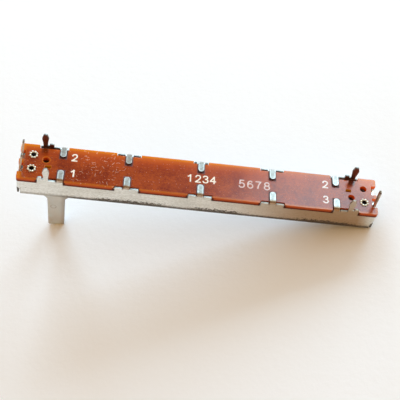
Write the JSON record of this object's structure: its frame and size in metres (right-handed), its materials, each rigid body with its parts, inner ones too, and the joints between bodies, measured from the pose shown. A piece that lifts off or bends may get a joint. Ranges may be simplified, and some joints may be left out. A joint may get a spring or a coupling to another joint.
{
  "type": "slide potentiometer",
  "caption": "Slide potentiometer: a folded tinplate case closed by a phenolic board, with a plastic lever that slides along a slot in its face.",
  "frame": {"origin": "the middle of the case's outer face, half way between the two panel screw holes", "axes": "+X along the travel from terminals 1 and 2 to terminal 3, +Z from the case's face through the board, so the lever points to -Z"},
  "size_m": [0.0754, 0.009, 0.0268],
  "materials": {
    "tinplate": "dull tin plate with dark specks",
    "phenolic": "glossy orange-brown paper phenolic",
    "carbon_print": "matt carbon print",
    "silver_print": "satin silver print",
    "tinned_terminal": "tinned brass",
    "tinned_eyelet": "tinned brass, star-flared",
    "lever_plastic": "grey moulded acetal",
    "spring_bronze": "bright spring bronze",
    "spring_steel": "bright spring steel"
  },
  "bodies": {
    "housing": {"case": "tinplate", "board": "phenolic", "resistive_track": "carbon_print", "collector_track": "silver_print", "electrode_1": "silver_print", "electrode_3": "silver_print", "terminal_1": "tinned_terminal", "terminal_2": "tinned_terminal", "terminal_3": "tinned_terminal", "eyelet_1": "tinned_eyelet", "eyelet_2": "tinned_eyelet", "eyelet_3": "tinned_eyelet"},
    "slider": {"carriage": "lever_plastic", "wiper": "spring_bronze", "guide_spring": "spring_steel"}
  },
  "joints": [
    {"name": "lever_slide", "type": "slide", "parent": "housing", "child": "slider", "axis": [1, 0, 0], "range_m": [0, 0.06]}
  ]
}
